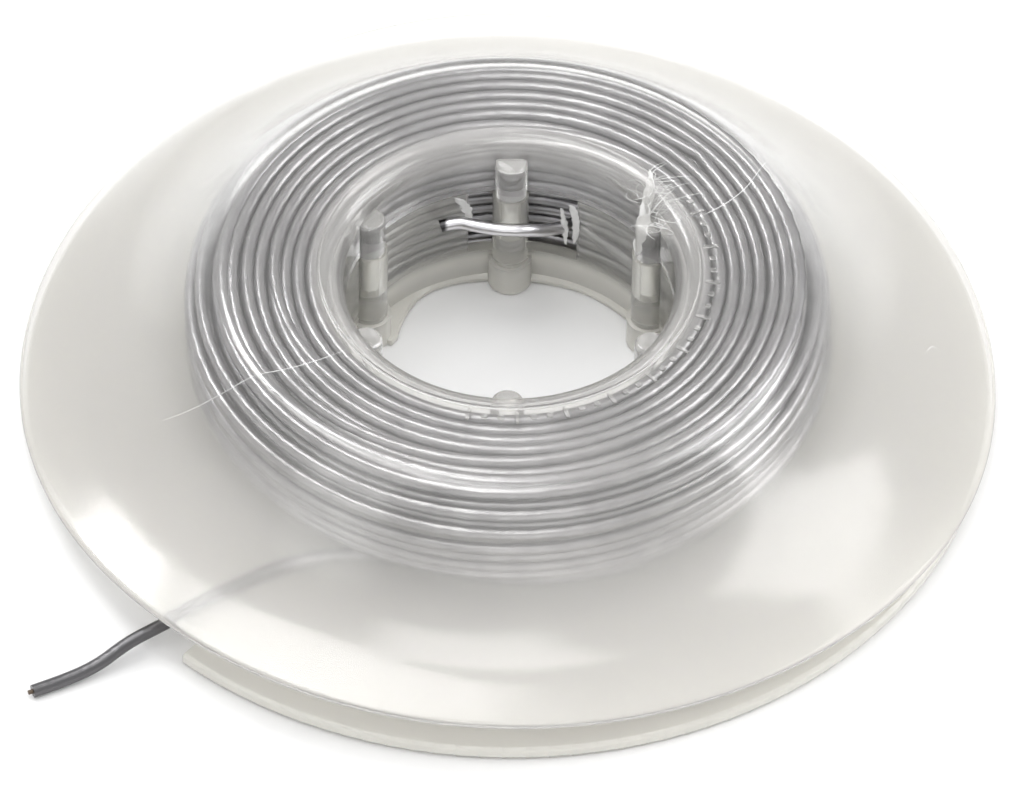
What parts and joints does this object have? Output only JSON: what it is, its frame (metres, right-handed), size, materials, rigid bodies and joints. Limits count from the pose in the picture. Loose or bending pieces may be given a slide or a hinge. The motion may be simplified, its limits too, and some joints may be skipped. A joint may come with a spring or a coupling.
{
  "type": "solder wire spool",
  "caption": "Small snap-together plastic spool of solder wire: two thin round halves, a wound pack of wire and its loose end.",
  "frame": {"origin": "on the spool's axis, at the surface that the lower flange lies on", "axes": "+Z along the spool's axis, from the flat lower half to the domed upper half; the wire's loose end leaves towards -X and -Y"},
  "size_m": [0.075, 0.075, 0.0146],
  "materials": {
    "clear_plastic": "milky, see-through",
    "milky_plastic": "milky, see-through",
    "solder": "bright drawn",
    "flux": "resin"
  },
  "bodies": {
    "base": {"lower_half": "milky_plastic", "solder_winding": "solder", "solder_start": "solder", "solder_tail": "solder", "flux_core": "flux"},
    "cover": {"upper_half": "clear_plastic"}
  },
  "joints": [
    {"name": "cover_lift", "type": "slide", "parent": "base", "child": "cover", "axis": [0, 0, 1], "range_m": [0, 0.016]}
  ]
}
